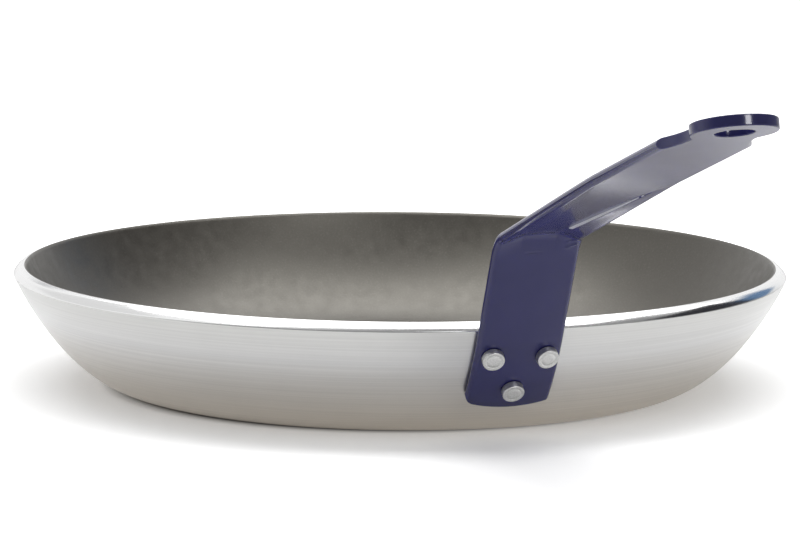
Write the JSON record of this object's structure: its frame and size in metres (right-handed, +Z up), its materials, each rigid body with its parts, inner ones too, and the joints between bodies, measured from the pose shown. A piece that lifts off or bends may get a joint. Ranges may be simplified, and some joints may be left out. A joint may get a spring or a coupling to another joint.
{
  "type": "frying pan",
  "caption": "Round pressed-aluminium frying pan with sloping sides, a nonstick lining and a long riveted strip-steel handle that ends in a rounded head with a hanging hole.",
  "frame": {"origin": "centre of the flat underside of the base", "axes": "+X from the centre of the pan out along the handle, +Z up; the handle's middle plane is XZ"},
  "size_m": [0.4888, 0.28, 0.1363],
  "materials": {
    "brushed_aluminium": "turned and brushed outside, polished on the cut edge of the rim",
    "nonstick": "satin dark grey nonstick coating",
    "handle_coat": "glossy dark blue baked coating on strip steel",
    "rivet": "satin"
  },
  "bodies": {
    "root": {"pan_body": "brushed_aluminium", "nonstick_coating": "nonstick", "handle": "handle_coat", "rivet_left": "rivet", "rivet_right": "rivet", "rivet_lower": "rivet"}
  },
  "joints": []
}
